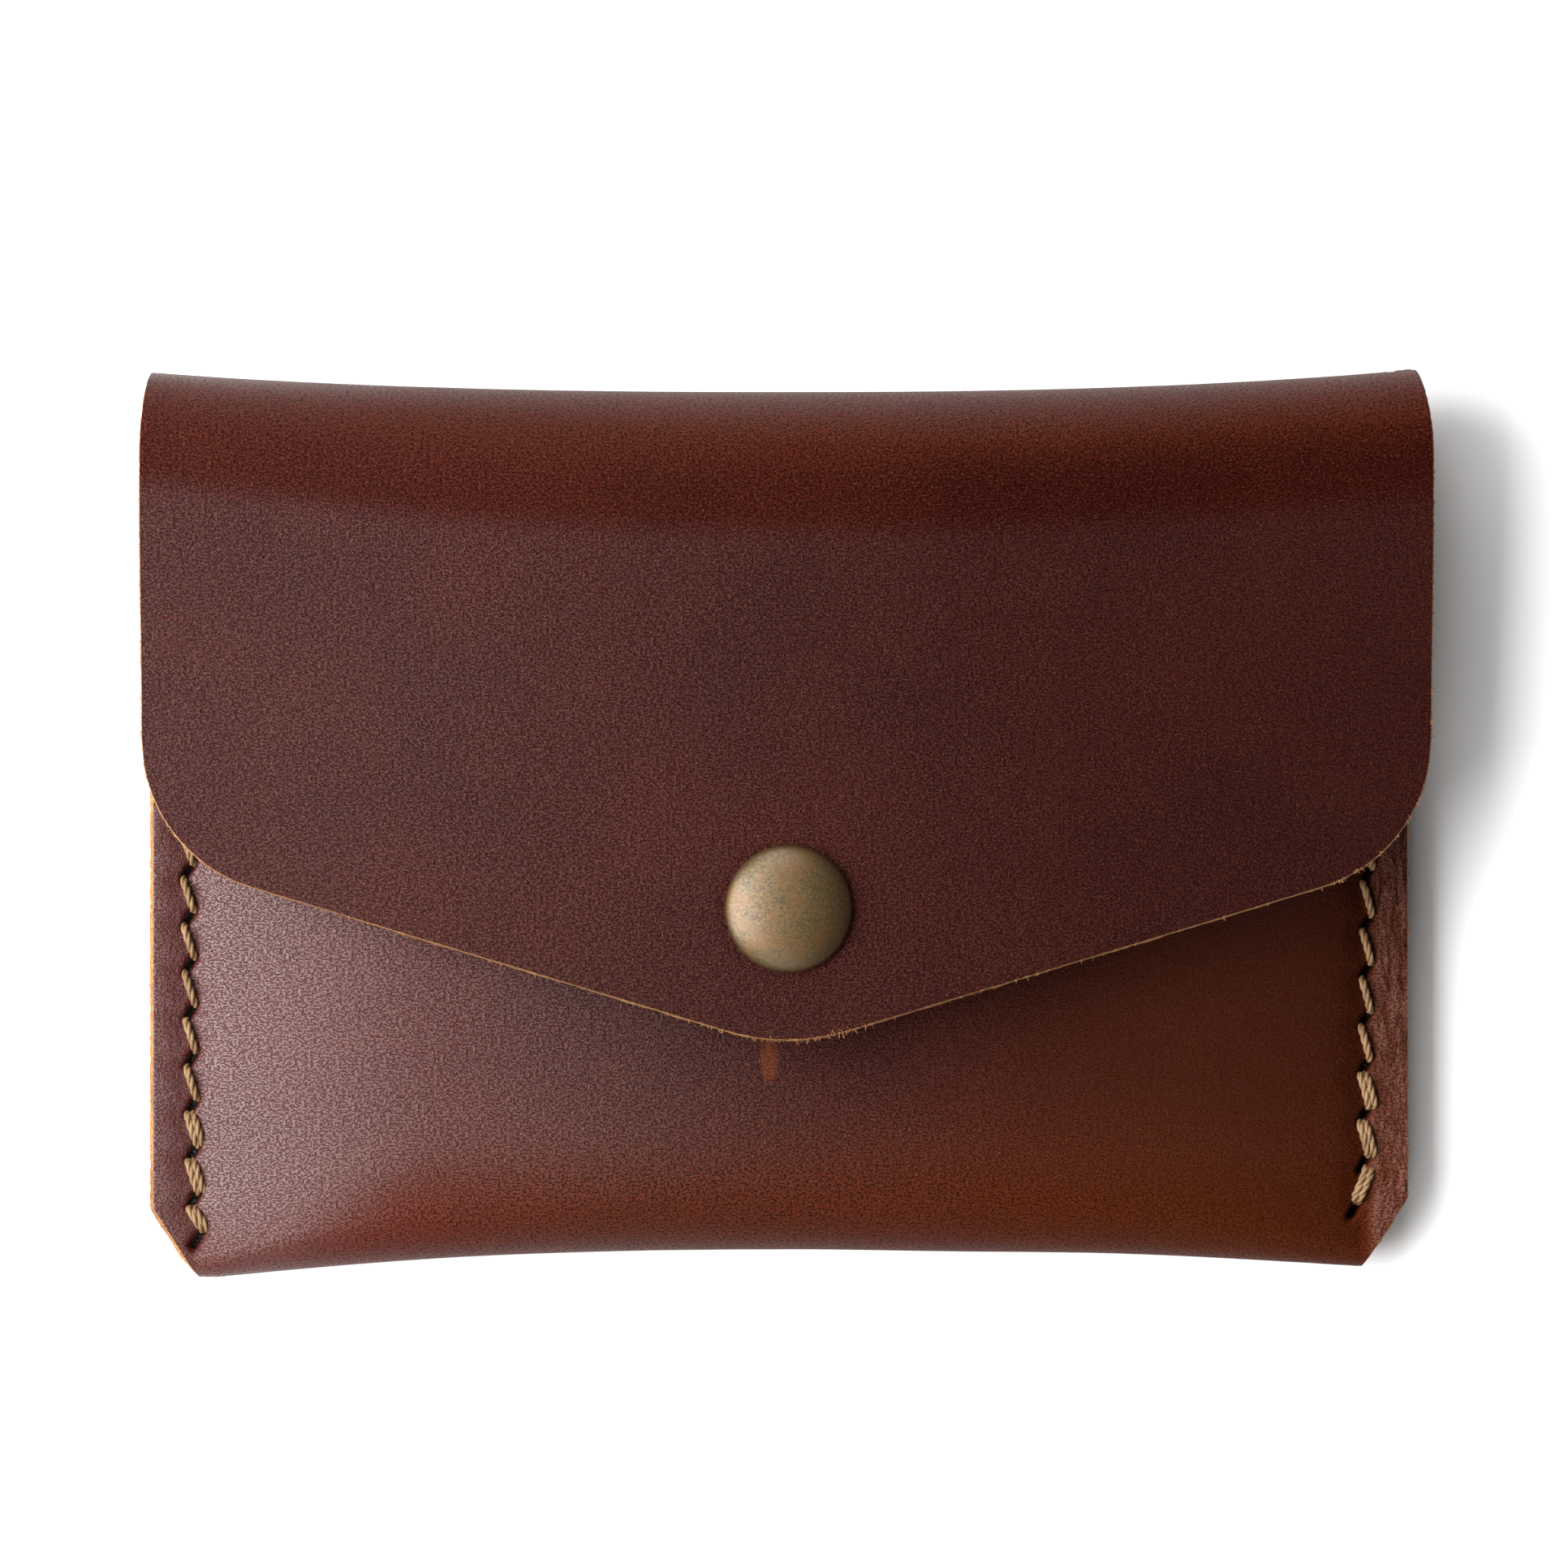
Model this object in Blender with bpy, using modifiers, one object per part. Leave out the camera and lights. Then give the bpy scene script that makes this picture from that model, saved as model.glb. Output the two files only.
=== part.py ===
"""Leather card holder with a snap flap, lying closed on its back.

Metres, +Z up. +X is to the wearer's right of the closed holder, +Y points from the pocket's bottom
fold to the flap's fold, and the back rests on Z = 0. One strip of leather makes the back, the
pocket's front and the flap. It is a few separate nodes here, because the flap's fold moves as two
hinges.
"""

import math

import bmesh
import bpy

MM = 0.001
NAME = "card_holder"

# Leather strip
LEATHER = 1.8 * MM  # thickness of the leather
PLY_GAP = 0.3 * MM  # left between the two layers inside a seam
CUT_GAP = 0.3 * MM  # left between two nodes of the strip at a hinge
POCKET_LEFT, POCKET_RIGHT = -52.7 * MM, 51.7 * MM  # the pocket's side edges
FOLD_LEFT, FOLD_RIGHT = -52.6 * MM, 52.1 * MM  # ends of the flap's fold
FLAP_HALF = 53.0 * MM  # half of the flap's width

# Pocket
POCKET_TOP = 13.0 * MM  # Y of the front panel's upper edge
POCKET_THICK = 12.8 * MM  # outside thickness at the middle
SEAM_THICK = 2 * LEATHER + PLY_GAP  # outside thickness at the seams
BULGE_LEFT, BULGE_RIGHT = 47.6 * MM, 46.0 * MM  # |X| at which the bulge meets the flat margin
BULGE_POWER = 2.2
BOTTOM_MID = -35.3 * MM  # Y of the bottom fold at the middle
BOTTOM_SAG_LEFT, BOTTOM_SAG_RIGHT = 2.5 * MM, 1.6 * MM  # how far its corners reach past that
BACK_RISE = 1.2 * MM  # the back curls this far off the table at the seams
RISE_START, RISE_END = 36.0 * MM, 46.0 * MM  # |X| between which it does
RISE_FADE_LOW, RISE_FADE_HIGH = 13.0 * MM, 25.0 * MM  # Y between which that curl dies out
CHAMFER_X, CHAMFER_Y = 3.7 * MM, 5.8 * MM  # cut off the pocket's bottom corners

# Flap and its fold
SNAP_SPACE = 3.0 * MM  # the snap holds the flap this far off the pocket
FLAP_TOP = POCKET_THICK + SNAP_SPACE + LEATHER  # Z of the flap's outside at the middle
FOLD_MID = 35.8 * MM  # Y of the flap's fold at the middle
FOLD_RISE_LEFT, FOLD_RISE_RIGHT = 1.7 * MM, 2.0 * MM  # how far its ends reach past that
DROOP_FOLD = 3.0 * MM  # how much lower the flap's sides are, at its fold
DROOP_FRONT = 5.0 * MM  # and over the pocket
DROOP_START, DROOP_END = 26.0 * MM, 8.0 * MM  # Y between which one becomes the other
DROOP_POWER = 2.4
FLAP_CORNER_Y = -2.3 * MM  # Y at which the side edge and the slanted edge would meet
FLAP_CORNER_R = 12.8 * MM
FLAP_POINT_Y = -18.2 * MM  # Y at which the two slanted edges would meet
FLAP_POINT_R = 17.0 * MM

# Hinge axes of the fold, as (Y, Z). Both lie just outside the leather.
BACK_FOLD = (34.8 * MM, 1.1 * MM)
FLAP_FOLD = (35.3 * MM, 13.1 * MM)

# Seams
STITCH = 4.0 * MM  # distance between two holes
SEAM_TOP = 11.8 * MM  # Y of each seam's first hole
LEFT_HOLES, RIGHT_HOLES = 12, 11  # holes of each seam before its last one
LEFT_SEAM_TOP, LEFT_SEAM_LOW = -50.1 * MM, -49.4 * MM  # X of the first and of the 12th hole
RIGHT_SEAM_TOP, RIGHT_SEAM_LOW = 48.7 * MM, 48.1 * MM
LEFT_LAST, RIGHT_LAST = (-49.0 * MM, -34.5 * MM), (47.4 * MM, -31.9 * MM)
SLIT_X, SLIT_Y = 1.1 * MM, 0.55 * MM  # half sides of a stitch hole
THREAD_R = 0.4 * MM
THREAD_LIFT = 0.5 * MM  # from the leather to the thread's centre line
STRAND = 0.5 * MM  # the two strands in a hole lie this far from its middle
BEND = 0.35 * MM

# Snap
SNAP_X, SNAP_Y = 0.2 * MM, -6.8 * MM
SNAP_STEPS = 28
FLAP_HOLE_R, POCKET_HOLE_R = 1.7 * MM, 1.15 * MM
SPRING_X, SPRING_Z, SPRING_R, SPRING_HALF = 2.35 * MM, 14.0 * MM, 0.22 * MM, 3.1 * MM

COLUMNS = 11  # grid columns on each side of the middle
FRONT_ROWS, BOTTOM_ROWS, BACK_ROWS, FOLD_ROWS, FLAP_ROWS = 7, 8, 11, 3, 11


def smooth_step(value, start, end):
    t = min(max((value - start) / (end - start), 0.0), 1.0)
    return t * t * (3 - 2 * t)


def sided(x, left, right):
    return left if x < 0 else right


def back_z(x, y):
    """Z of the back's outside."""
    side = smooth_step(abs(x), RISE_START, RISE_END)
    return BACK_RISE * side * (1 - smooth_step(y, RISE_FADE_LOW, RISE_FADE_HIGH))


def pocket_thick(x):
    """Outside thickness of the pocket: a bulge between two flat margins."""
    across = min(abs(x) / sided(x, BULGE_LEFT, BULGE_RIGHT), 1.0)
    return SEAM_THICK + (POCKET_THICK - SEAM_THICK) * (1 - across**BULGE_POWER)


def bottom_y(x):
    """Y of the bottom fold's outside."""
    across = min(abs(x) / BULGE_LEFT, 1.0)
    return BOTTOM_MID - sided(x, BOTTOM_SAG_LEFT, BOTTOM_SAG_RIGHT) * across**BULGE_POWER


def flap_z(x, y):
    """Z of the flap's outside."""
    droop = DROOP_FRONT + (DROOP_FOLD - DROOP_FRONT) * smooth_step(y, DROOP_END, DROOP_START)
    return FLAP_TOP - droop * (abs(x) / FLAP_HALF) ** DROOP_POWER


def fold_circle(x):
    """Centre Y, centre Z and outside radius of the flap's fold."""
    across = (abs(x) / FLAP_HALF) ** DROOP_POWER
    radius = (FLAP_TOP - DROOP_FOLD * across) / 2
    rise = sided(x, FOLD_RISE_LEFT, FOLD_RISE_RIGHT) * across
    return FOLD_MID + rise - radius, radius, radius


def fold_angle(x, hinge):
    """Angle on the fold of the line from its centre through a hinge axis."""
    y, z, _ = fold_circle(x)
    return math.atan2(hinge[1] - z, hinge[0] - y)


def fold_point(x, angle, depth):
    y, z, radius = fold_circle(x)
    reach = radius - depth
    return (x, y + reach * math.cos(angle), z + reach * math.sin(angle))


def flap_end_y(x):
    """Y of the flap's free edge: rounded corners, two slanted edges and a rounded point."""
    x = abs(x)
    slope = (FLAP_CORNER_Y - FLAP_POINT_Y) / FLAP_HALF
    slant = math.atan(slope)
    if x < FLAP_POINT_R * math.sin(slant):
        centre = FLAP_POINT_Y + FLAP_POINT_R / math.cos(slant)
        return centre - math.sqrt(FLAP_POINT_R**2 - x**2)
    corner = FLAP_HALF - FLAP_CORNER_R
    if x > corner + FLAP_CORNER_R * math.sin(slant):
        centre = FLAP_POINT_Y + slope * corner + FLAP_CORNER_R / math.cos(slant)
        return centre - math.sqrt(max(FLAP_CORNER_R**2 - (x - corner) ** 2, 0.0))
    return FLAP_POINT_Y + slope * x


def columns():
    """Positions across the strip from -1 to 1, closer together towards the edges."""
    half = [math.sin(math.pi / 2 * i / COLUMNS) ** 1.15 for i in range(COLUMNS + 1)]
    return [-u for u in half[:0:-1]] + half


def steps(count):
    return [i / count for i in range(count + 1)]


def pocket_side(u, y):
    """X at column u of a pocket row that meets the side edge at Y = y, inside the chamfers."""
    cut = min(max((y - bottom_y(BULGE_LEFT * u)) / CHAMFER_Y, 0.0), 1.0)
    return u * (sided(u, -POCKET_LEFT, POCKET_RIGHT) - CHAMFER_X * (1 - cut))


def pocket_row(part, t, depth):
    """One row of the pocket's leather, at a depth under its outside."""
    row = []
    for u in columns():
        edge_low = bottom_y(BULGE_LEFT * u) + SEAM_THICK / 2
        if part == "front":
            x = pocket_side(u, POCKET_TOP + (edge_low - POCKET_TOP) * t)
            y = POCKET_TOP + (bottom_y(x) + pocket_thick(x) / 2 - POCKET_TOP) * t
            row.append((x, y, back_z(x, y) + pocket_thick(x) - depth))
        elif part == "bottom":
            angle = math.pi * (0.5 + t)
            x = pocket_side(u, edge_low + SEAM_THICK / 2 * math.cos(angle))
            middle, reach = pocket_thick(x) / 2, pocket_thick(x) / 2 - depth
            y = bottom_y(x) + middle
            z = back_z(x, y) + middle + reach * math.sin(angle)
            row.append((x, y + reach * math.cos(angle), z))
        elif part == "back":
            widest = (FOLD_RIGHT - POCKET_RIGHT if u > 0 else POCKET_LEFT - FOLD_LEFT) * t
            x = pocket_side(u, edge_low + (FOLD_MID - edge_low) * t) + widest * u
            low, high = bottom_y(x) + pocket_thick(x) / 2, fold_circle(x)[0]
            y = low + (high - low) * t
            row.append((x, y, back_z(x, y) + depth))
        else:
            x = fold_side(u)
            end = fold_angle(x, BACK_FOLD) - CUT_GAP / 2 / fold_circle(x)[2]
            row.append(fold_point(x, -math.pi / 2 + (end + math.pi / 2) * t, depth))
    return row


def fold_side(u):
    return u * sided(u, -FOLD_LEFT, FOLD_RIGHT)


def link(obj, material=None, cutter=False):
    """Puts an object in its collection, with a material, or hides it as a cutter."""
    name = NAME + "_cutters" if cutter else NAME
    if name not in bpy.data.collections:
        bpy.context.scene.collection.children.link(bpy.data.collections.new(name))
    bpy.data.collections[name].objects.link(obj)
    if cutter:
        obj.hide_render = True
        obj.display_type = "WIRE"
    else:
        obj.data.materials.append(material)
    return obj


def material(name, color, roughness, metallic=0.0):
    made = bpy.data.materials.new(name)
    made.use_nodes = True
    shader = made.node_tree.nodes["Principled BSDF"]
    shader.inputs["Base Color"].default_value = (*color, 1.0)
    shader.inputs["Roughness"].default_value = roughness
    shader.inputs["Metallic"].default_value = metallic
    return made


def sheet(name, outside, inside, made_of):
    """A closed sheet of leather lofted through two grids with the same rows and columns."""
    rows, across = len(outside), len(outside[0])
    points = [p for grid in (outside, inside) for row in grid for p in row]
    inner = rows * across
    faces = []
    for r in range(rows - 1):
        for c in range(across - 1):
            a, b = r * across + c, r * across + c + 1
            faces.append((a, b, b + across, a + across))
            faces.append((inner + a, inner + a + across, inner + b + across, inner + b))
        for a, b in ((r * across, (r + 1) * across), ((r + 2) * across - 1, (r + 1) * across - 1)):
            faces.append((a, b, inner + b, inner + a))
    for c in range(across - 1):
        top, end = c, (rows - 1) * across + c
        faces.append((top + 1, top, inner + top, inner + top + 1))
        faces.append((end, end + 1, inner + end + 1, inner + end))
    mesh = bpy.data.meshes.new(name)
    mesh.from_pydata(points, [], faces)
    shape = bmesh.new()
    shape.from_mesh(mesh)
    bmesh.ops.recalc_face_normals(shape, faces=shape.faces)
    shape.to_mesh(mesh)
    shape.free()
    return link(bpy.data.objects.new(name, mesh), made_of)


def cut(obj, cutter):
    modifier = obj.modifiers.new(cutter.name, "BOOLEAN")
    modifier.operation = "DIFFERENCE"
    modifier.solver = "EXACT"
    modifier.object = cutter


def add_drill(shape, radius, low, high):
    """Adds a round cutter through the leather at the snap to a mesh."""
    made = bmesh.ops.create_cone(shape, cap_ends=True, segments=16, radius1=radius,
                                 radius2=radius, depth=high - low)
    bmesh.ops.translate(shape, vec=(SNAP_X, SNAP_Y, (low + high) / 2), verts=made["verts"])


def add_slits(shape):
    """Adds a narrow cutter through both layers at each stitch hole to a mesh."""
    low, high = BACK_RISE - 1.0 * MM, BACK_RISE + SEAM_THICK + 1.0 * MM
    for x, y in seam_holes(True) + seam_holes(False):
        made = bmesh.ops.create_cube(shape, size=2.0)
        bmesh.ops.scale(shape, vec=(SLIT_X, SLIT_Y, (high - low) / 2), verts=made["verts"])
        bmesh.ops.translate(shape, vec=(x, y, (low + high) / 2), verts=made["verts"])


def cutter_of(name, shape):
    mesh = bpy.data.meshes.new(name)
    shape.to_mesh(mesh)
    shape.free()
    return link(bpy.data.objects.new(name, mesh), cutter=True)


def seam_holes(left):
    """Hole centres of one seam, from the pocket's mouth down."""
    count = LEFT_HOLES if left else RIGHT_HOLES
    top = LEFT_SEAM_TOP if left else RIGHT_SEAM_TOP
    low = LEFT_SEAM_LOW if left else RIGHT_SEAM_LOW
    pitch = STITCH * (0.98 if left else 1.0)
    holes = [(top + (low - top) * i / (count - 1), SEAM_TOP - pitch * i) for i in range(count)]
    return holes + [LEFT_LAST if left else RIGHT_LAST]


def pocket_shell(leather):
    """Front panel, bottom fold, back panel and the lower part of the flap's fold."""
    plan = [("front", t) for t in steps(FRONT_ROWS)]
    plan += [("bottom", t) for t in steps(BOTTOM_ROWS)[1:]]
    plan += [("back", t) for t in steps(BACK_ROWS)[1:]]
    plan += [("fold", t) for t in steps(FOLD_ROWS)[1:]]
    outside = [pocket_row(part, t, 0.0) for part, t in plan]
    inside = [pocket_row(part, t, LEATHER) for part, t in plan]
    shell = sheet("pocket_shell", outside, inside, leather)
    holes = bmesh.new()
    add_slits(holes)
    low = POCKET_THICK - LEATHER - 1.0 * MM
    add_drill(holes, POCKET_HOLE_R, low, POCKET_THICK + 1.0 * MM)
    cut(shell, cutter_of("pocket_holes", holes))
    return shell


def fold_spine(leather):
    """The middle of the flap's fold, between its two hinges."""
    grids = []
    for depth in (0.0, LEATHER):
        grid = []
        for t in steps(2 * FOLD_ROWS):
            row = []
            for x in map(fold_side, columns()):
                gap = CUT_GAP / 2 / fold_circle(x)[2]
                low, high = fold_angle(x, BACK_FOLD) + gap, fold_angle(x, FLAP_FOLD) - gap
                row.append(fold_point(x, low + (high - low) * t, depth))
            grid.append(row)
        grids.append(grid)
    return sheet("fold_spine", *grids, leather)


def flap(leather):
    """The flap, with the upper part of its fold."""
    grids = []
    for depth in (0.0, LEATHER):
        grid = []
        for t in steps(FOLD_ROWS):
            row = []
            for x in map(fold_side, columns()):
                start = fold_angle(x, FLAP_FOLD) + CUT_GAP / 2 / fold_circle(x)[2]
                row.append(fold_point(x, start + (math.pi / 2 - start) * t, depth))
            grid.append(row)
        for t in steps(FLAP_ROWS)[1:]:
            row = []
            for u in columns():
                x = fold_side(u) + (u * FLAP_HALF - fold_side(u)) * min(3 * t, 1.0)
                high, low = fold_circle(x)[0], flap_end_y(x)
                y = high + (low - high) * t
                row.append((x, y, flap_z(x, y) - depth))
            grid.append(row)
        grids.append(grid)
    made = sheet("flap", *grids, leather)
    hole = bmesh.new()
    add_drill(hole, FLAP_HOLE_R, FLAP_TOP - LEATHER - 1.0 * MM, FLAP_TOP + 1.0 * MM)
    cut(made, cutter_of("flap_hole", hole))
    return made


def wire(name, points, radius, made_of):
    """A round wire along a path."""
    data = bpy.data.curves.new(name, "CURVE")
    data.dimensions = "3D"
    data.bevel_depth = radius
    data.bevel_resolution = 2
    data.use_fill_caps = True
    line = data.splines.new("POLY")
    line.points.add(len(points) - 1)
    for point, place in zip(line.points, points):
        point.co = (*place, 1.0)
    return link(bpy.data.objects.new(name, data), made_of)


def bend(hole, other, side, other_side, face, outward):
    """The two points where a strand leaves a hole at one face and turns towards another hole."""
    start = (hole[0] + side * STRAND, hole[1])
    aim = (other[0] + other_side * STRAND - start[0], other[1] - start[1])
    length = math.hypot(*aim)
    turned = (start[0] + aim[0] / length * BEND, start[1] + aim[1] / length * BEND)
    return (*start, face + outward * 0.05 * MM), (*turned, face + outward * THREAD_LIFT)


def strand(holes, front_first):
    """A strand from the first hole to the last, over and under by turns."""
    faces = {True: (BACK_RISE + SEAM_THICK, 1), False: (BACK_RISE, -1)}
    front, side, points = front_first, -1, []
    for i, (here, there) in enumerate(zip(holes, holes[1:])):
        arrive = 1 if front else -1
        leave = -1 if front or i == 0 else 1
        start, lifted = bend(here, there, leave, arrive, *faces[front])
        end, lowered = bend(there, here, arrive, leave, *faces[front])
        points += [start, lifted, lowered, end]
        front = not front
    return points


def seam_thread(name, holes, thread):
    """One thread sewn with both of its ends, which meet in the first hole and stop in the last."""
    middle = BACK_RISE + SEAM_THICK / 2
    there, back = strand(holes, True), strand(holes, False)
    ends = [(*p[-1][:2], middle) for p in (there, back)]
    path = [ends[1]] + back[::-1] + there + [ends[0]]
    return wire(name, path, THREAD_R, thread)


def turned(name, profile, made_of, closed=True):
    """A round piece at the snap, from (radius, Z) in millimetres down its outer side."""
    mesh = bpy.data.meshes.new(name)
    count = len(profile)
    edges = [(i, i + 1) for i in range(count - 1)] + ([(count - 1, 0)] if closed else [])
    mesh.from_pydata([(r * MM, 0.0, z * MM) for r, z in profile], edges, [])
    obj = link(bpy.data.objects.new(name, mesh), made_of)
    obj.location = (SNAP_X, SNAP_Y, 0.0)
    screw = obj.modifiers.new("turn", "SCREW")
    screw.steps = screw.render_steps = SNAP_STEPS
    screw.use_merge_vertices = True
    screw.merge_threshold = 0.00001
    screw.use_smooth_shade = True
    return obj


def snap_cap(brass):
    """The domed cap that shows on the flap, with its rim rolled under."""
    dome = [(0.0, 19.5), (1.4, 19.42), (2.7, 19.16), (3.8, 18.72), (4.6, 18.25), (5.05, 17.9)]
    rim = [(5.2, 17.72), (5.1, 17.64), (4.3, 17.62), (4.3, 17.82), (4.75, 17.92), (4.55, 17.98)]
    under = [(3.6, 18.42), (2.55, 18.82), (1.3, 19.06), (0.0, 19.14)]
    return turned("snap_cap", dome + rim + under, brass, closed=False)


def cap_rivet(brass):
    """The cap's disc and tube, through the flap and clenched under the socket."""
    disc = [(0.0, 18.3), (3.3, 18.3), (4.0, 18.0), (4.0, 17.75), (1.4, 17.75)]
    tube = [(1.4, 15.05), (2.2, 15.05), (2.2, 14.85), (1.0, 14.85), (1.0, 18.0), (0.0, 18.0)]
    return turned("cap_rivet", disc + tube, brass, closed=False)


def snap_socket(brass):
    """The socket under the flap."""
    profile = [(1.7, 15.55), (3.9, 15.55), (4.3, 15.3), (4.4, 14.2), (4.2, 13.45), (2.6, 13.45),
               (2.6, 13.7), (3.9, 13.7), (4.1, 14.2), (4.0, 15.1), (3.8, 15.25), (1.7, 15.25)]
    return turned("snap_socket", profile, brass)


def socket_spring(name, side, steel):
    """One of the socket's two spring wires, drawn as pushed aside by the stud."""
    x, bow = SNAP_X + side * SPRING_X, side * 0.25 * MM
    ends = [(x - bow, -1.0), (x, -0.5), (x, 0.5), (x - bow, 1.0)]
    points = [(a, SNAP_Y + b * SPRING_HALF, SPRING_Z) for a, b in ends]
    return wire(name, points, SPRING_R, steel)


def snap_stud(brass):
    """The stud on the pocket."""
    profile = [(1.0, 14.3), (1.5, 14.3), (1.8, 14.08), (1.5, 13.8), (1.5, 13.35), (1.9, 13.2),
               (3.9, 13.15), (4.1, 12.9), (1.0, 12.9)]
    return turned("snap_stud", profile, brass)


def stud_eyelet(brass):
    """The hollow rivet inside the pocket that holds the stud."""
    profile = [(0.5, 14.55), (1.2, 14.5), (1.2, 14.38), (0.8, 14.38), (0.8, 10.9), (3.8, 10.9),
               (4.0, 10.7), (3.8, 10.5), (0.8, 10.5), (0.5, 10.65)]
    return turned("stud_eyelet", profile, brass)


def main():
    for obj in list(bpy.data.objects):
        bpy.data.objects.remove(obj, do_unlink=True)
    leather = material("leather", (0.135, 0.042, 0.028), 0.55)
    thread = material("thread", (0.43, 0.25, 0.10), 0.8)
    brass = material("brass", (0.30, 0.22, 0.11), 0.42, 1.0)
    steel = material("spring", (0.55, 0.53, 0.50), 0.35, 1.0)
    for obj in (pocket_shell(leather), fold_spine(leather), flap(leather)):
        obj.data.polygons.foreach_set("use_smooth", [True] * len(obj.data.polygons))
        obj.data.set_sharp_from_angle(angle=math.radians(40))
    seam_thread("left_seam_thread", seam_holes(True), thread)
    seam_thread("right_seam_thread", seam_holes(False), thread)
    snap_cap(brass)
    cap_rivet(brass)
    snap_socket(brass)
    socket_spring("socket_spring_left", -1, steel)
    socket_spring("socket_spring_right", 1, steel)
    snap_stud(brass)
    stud_eyelet(brass)


main()
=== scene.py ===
"""Looks of the card holder: folded chestnut leather, waxed tan thread and an antique-brass snap."""

import math

import bmesh
import bpy
import numpy as np
from mathutils import Matrix, Vector, noise


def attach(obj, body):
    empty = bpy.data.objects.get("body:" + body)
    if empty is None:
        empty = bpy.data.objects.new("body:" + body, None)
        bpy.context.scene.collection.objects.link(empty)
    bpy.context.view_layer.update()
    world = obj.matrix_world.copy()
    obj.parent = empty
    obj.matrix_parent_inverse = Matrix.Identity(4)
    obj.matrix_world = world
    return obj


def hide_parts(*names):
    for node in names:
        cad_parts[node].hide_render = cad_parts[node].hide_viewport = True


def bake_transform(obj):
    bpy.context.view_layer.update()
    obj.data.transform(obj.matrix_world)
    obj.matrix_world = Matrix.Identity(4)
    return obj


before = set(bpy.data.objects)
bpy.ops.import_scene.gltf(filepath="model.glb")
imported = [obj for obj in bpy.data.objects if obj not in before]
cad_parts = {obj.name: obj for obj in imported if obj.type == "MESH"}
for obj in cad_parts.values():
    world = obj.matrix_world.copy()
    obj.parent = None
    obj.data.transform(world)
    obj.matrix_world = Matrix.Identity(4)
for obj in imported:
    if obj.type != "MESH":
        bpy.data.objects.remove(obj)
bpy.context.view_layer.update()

# Everything below is in millimetres until a mesh is made. X runs across the holder, Y up its front
# and Z out of it, and the strip of leather runs from the pocket's mouth round to the flap's point.
MM = 0.001
LEATHER = 1.8  # thickness of the strip
SEAM_THICK = 3.9  # both layers at a seam
POCKET_LEFT, POCKET_RIGHT = 52.7, 51.7
FOLD_LEFT, FOLD_RIGHT = 52.6, 52.1
FLAP_HALF = 53.0
POCKET_TOP, POCKET_THICK = 13.0, 12.8
BULGE_LEFT, BULGE_RIGHT, BULGE_POWER = 49.3, 47.9, 2.2
SAG_HALF = 47.6
BOTTOM_MID, SAG_LEFT, SAG_RIGHT = -35.3, 2.5, 1.6
BACK_RISE = 1.2  # how far the back's side margins lift off the table
RISE_FROM, RISE_TO = 36, 46  # where across the back that lift starts and is whole
RISE_GONE = (13, 25)  # where up the back it fades out
CHAMFER_X, CHAMFER_Y = 3.7, 5.8
FLAP_TOP, FOLD_MID = 17.6, 35.8
RISE_LEFT, RISE_RIGHT = 1.7, 2.0
DROOP_FOLD, DROOP_FRONT, DROOP_POWER = 3.0, 5.0, 2.4
CORNER_Y, CORNER_R, POINT_Y, POINT_R = -2.3, 12.8, -18.2, 17.0
SNAP = np.array([0.2, -6.8])
SLIT = np.array([0.40, 0.66])  # half of a pricked slit, which slants
RIM = 6  # bands of faces from the grain side to the flesh side along a cut edge
EDGE_BULGE, EDGE_SWOLLEN = 0.1, 0.32  # how far a cut edge stands out, and the pocket's left one


def smooth(value, start, end):
    """0 at start, 1 at end and an even ease between them."""
    t = np.clip((value - start) / (end - start), 0.0, 1.0)
    return t * t * (3 - 2 * t)


def sided(x, left, right):
    return np.where(x < 0, left, right)


def back_z(x, y):
    """Height of the pocket's back over the table."""
    return BACK_RISE * smooth(abs(x), RISE_FROM, RISE_TO) * (1 - smooth(y, *RISE_GONE))


def pocket_thick(x):
    across = np.minimum(abs(x) / sided(x, BULGE_LEFT, BULGE_RIGHT), 1.0)
    seam = BACK_RISE + SEAM_THICK
    front = seam + (POCKET_THICK - seam) * (1 - across**BULGE_POWER)
    return front - BACK_RISE * smooth(abs(x), RISE_FROM, RISE_TO)


def bottom_y(x):
    """The pocket's lower outline."""
    across = np.minimum(abs(x) / SAG_HALF, 1.0)
    return BOTTOM_MID - sided(x, SAG_LEFT, SAG_RIGHT) * across**BULGE_POWER


def flap_z(x, y):
    droop = DROOP_FRONT + (DROOP_FOLD - DROOP_FRONT) * smooth(y, 8, 26)
    return FLAP_TOP - droop * (abs(x) / FLAP_HALF) ** DROOP_POWER


def fold_circle(x):
    """(centre Y, radius) of the top fold's outside at a place across it."""
    across = (abs(x) / FLAP_HALF) ** DROOP_POWER
    radius = (FLAP_TOP - DROOP_FOLD * across) / 2
    return FOLD_MID + sided(x, RISE_LEFT, RISE_RIGHT) * across - radius, radius


def fold_points(x, angle, depth):
    y, radius = fold_circle(x)
    reach = radius - depth
    return x + 0 * angle, y + reach * np.cos(angle), radius + reach * np.sin(angle)


def flap_end_y(x):
    """The flap's cut end: a rounded point, straight slopes and rounded corners."""
    x = np.minimum(abs(x), FLAP_HALF)
    slope = (CORNER_Y - POINT_Y) / FLAP_HALF
    slant = math.atan(slope)
    point = POINT_Y + POINT_R / math.cos(slant) - np.sqrt(np.maximum(POINT_R**2 - x**2, 0))
    corner = FLAP_HALF - CORNER_R
    centre = POINT_Y + slope * corner + CORNER_R / math.cos(slant)
    rounded = centre - np.sqrt(np.maximum(CORNER_R**2 - (x - corner) ** 2, 0))
    straight = POINT_Y + slope * x
    straight = np.where(x < POINT_R * math.sin(slant), point, straight)
    return np.where(x > corner + CORNER_R * math.sin(slant), rounded, straight)


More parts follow.
